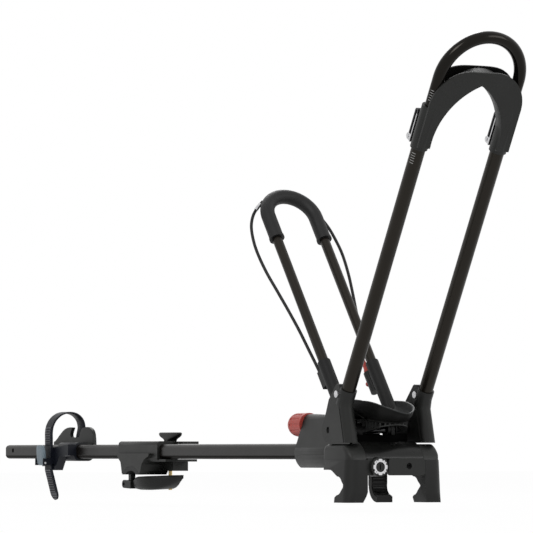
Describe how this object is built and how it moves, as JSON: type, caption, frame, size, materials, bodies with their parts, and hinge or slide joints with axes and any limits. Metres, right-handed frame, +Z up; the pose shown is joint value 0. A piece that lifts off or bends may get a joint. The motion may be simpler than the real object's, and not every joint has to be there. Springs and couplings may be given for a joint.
{
  "type": "roof mounted bike carrier",
  "caption": "Roof mounted bike carrier with a tall folding wheel hoop, a short rocking hoop with a lock cable, a sliding rear bar clamp and a strapped rear wheel saddle.",
  "frame": {"origin": "axis of the front roof bar, midway between the two feet that hook over it", "axes": "+X to the front of the vehicle, +Y to the far side in the picture, +Z up"},
  "size_m": [1.6772, 0.1742, 0.7131],
  "materials": {
    "powder_coat": "satin powder coat",
    "gloss_coat": "gloss powder coat",
    "grey_mould": "fine satin moulded",
    "black_mould": "matt moulded",
    "cast_base": "matt black casting",
    "bright_steel": "zinc plated",
    "black_steel": "blackened",
    "bezel_chrome": "polished",
    "red_plastic": "matt soft-touch",
    "brass_bolt": "plain",
    "black_rubber": "matt",
    "strap_plastic": "satin",
    "buckle_plastic": "satin"
  },
  "bodies": {
    "base_unit": {"tray_tube": "powder_coat", "tube_end_plug": "black_mould", "base_casting": "cast_base", "front_hood": "grey_mould", "front_plate": "grey_mould", "near_foot": "black_mould", "far_foot": "black_mould", "near_cap": "grey_mould", "far_cap": "grey_mould", "rear_housing": "grey_mould", "housing_belly": "grey_mould", "tube_bolts": "bright_steel", "cross_shaft": "black_steel", "lock_housing": "grey_mould", "lock_bezel": "bezel_chrome"},
    "wheel_hoop": {"near_bracket": "grey_mould", "far_bracket": "grey_mould", "near_leg": "powder_coat", "far_leg": "powder_coat", "bracket_bolts": "bright_steel", "bridge_cover": "grey_mould", "latch_bases": "bright_steel", "latch_pins": "bright_steel"},
    "hoop_extension": {"arch_tube": "gloss_coat", "arch_plugs": "black_mould"},
    "latch_lever_near": {"near_latch": "black_steel"},
    "latch_lever_far": {"far_latch": "black_steel"},
    "cradle": {"rocker_frame": "cast_base", "wheel_dish": "grey_mould", "small_hoop_tube": "powder_coat", "hoop_grip": "black_rubber", "cable_near": "black_rubber", "cable_far": "black_rubber", "cable_clip": "black_mould", "cable_plug": "red_plastic", "lock_barrel": "black_mould", "lock_button": "red_plastic"},
    "tension_screw": {"tension_knob": "red_plastic", "lead_screw": "black_steel"},
    "tension_carriage": {"tension_nut": "black_steel"},
    "clamp_drive": {"clamp_screw": "bright_steel"},
    "clamp_jaw": {"front_jaw": "cast_base", "jaw_pad": "black_rubber"},
    "key_lock": {"lock_core": "black_mould"},
    "bar_clamp": {"clamp_body": "grey_mould", "saddle_pad": "black_rubber", "jaw_pin": "bright_steel"},
    "bar_jaw": {"rear_jaw": "black_mould", "barrel_nut": "brass_bolt"},
    "bar_knob": {"clamp_bolt": "brass_bolt", "wing_knob": "black_mould"},
    "wheel_holder": {"wheel_saddle": "grey_mould", "strap": "strap_plastic", "strap_pin": "bright_steel", "buckle_body": "strap_plastic", "buckle_pin": "bright_steel"},
    "strap_lever": {"buckle_lever": "buckle_plastic"}
  },
  "joints": [
    {"name": "wheel_hoop_swing", "type": "hinge", "parent": "base_unit", "child": "wheel_hoop", "pos_m": [-0.0345, 0, 0.086], "axis": [0, 1, 0], "range_deg": [-115, 0], "deforming": ["cable_near", "cable_far"]},
    {"name": "hoop_extension_slide", "type": "slide", "parent": "wheel_hoop", "child": "hoop_extension", "axis": [0.506, 0, 0.8625], "range_m": [-0.034, 0.06]},
    {"name": "latch_near_hinge", "type": "hinge", "parent": "wheel_hoop", "child": "latch_lever_near", "pos_m": [0.20513, -0.0701, 0.52743], "axis": [0, 1, 0], "range_deg": [-100, 0]},
    {"name": "latch_far_hinge", "type": "hinge", "parent": "wheel_hoop", "child": "latch_lever_far", "pos_m": [0.20513, 0.0701, 0.52743], "axis": [0, 1, 0], "range_deg": [-100, 0]},
    {"name": "cradle_rock", "type": "hinge", "parent": "base_unit", "child": "cradle", "pos_m": [-0.0345, 0, 0.086], "axis": [0, 1, 0], "range_deg": [-15, 22]},
    {"name": "tension_knob_turn", "type": "hinge", "parent": "base_unit", "child": "tension_screw", "pos_m": [-0.238, 0, 0.096], "axis": [1, 0, 0], "range_deg": [-426, 624]},
    {"name": "tension_nut_slide", "type": "slide", "parent": "base_unit", "child": "tension_carriage", "axis": [1, 0, 0], "range_m": [-0.009, 0.0063]},
    {"name": "clamp_screw_turn", "type": "hinge", "parent": "base_unit", "child": "clamp_drive", "pos_m": [0, 0.0225, 0.0305], "axis": [1, 0, 0], "range_deg": [-5760, 288]},
    {"name": "clamp_jaw_slide", "type": "slide", "parent": "base_unit", "child": "clamp_jaw", "axis": [1, 0, 0], "range_m": [-0.02, 0.001]},
    {"name": "key_turn", "type": "hinge", "parent": "base_unit", "child": "key_lock", "pos_m": [0.04, -0.0335, 0.029], "axis": [1, 0, 0], "range_deg": [0, 90]},
    {"name": "bar_clamp_slide", "type": "slide", "parent": "base_unit", "child": "bar_clamp", "axis": [1, 0, 0], "range_m": [-0.05, 0.38]},
    {"name": "bar_knob_turn", "type": "hinge", "parent": "bar_clamp", "child": "bar_knob", "pos_m": [-0.782, 0.031, 0.075], "axis": [0, 0, 1], "range_deg": [0, 4320]},
    {"name": "bar_jaw_hinge", "type": "hinge", "parent": "bar_clamp", "child": "bar_jaw", "pos_m": [-0.8675, 0, -0.003], "axis": [0, 1, 0], "range_deg": [-0.01, 10.01]},
    {"name": "wheel_holder_slide", "type": "slide", "parent": "base_unit", "child": "wheel_holder", "axis": [1, 0, 0], "range_m": [-0.1, 0.1]},
    {"name": "buckle_hinge", "type": "hinge", "parent": "wheel_holder", "child": "strap_lever", "pos_m": [-1.131, -0.049, 0.033], "axis": [1, 0, 0], "range_deg": [0, 100]}
  ],
  "couplings": [
    {"joint": "tension_nut_slide", "follows": "cradle_rock", "m_per_rad": -0.0225},
    {"joint": "tension_knob_turn", "follows": "cradle_rock", "ratio": 28.274},
    {"joint": "clamp_screw_turn", "follows": "clamp_jaw_slide", "rad_per_m": 5026.5},
    {"joint": "bar_jaw_hinge", "follows": "bar_knob_turn", "ratio": 0.0023148}
  ]
}
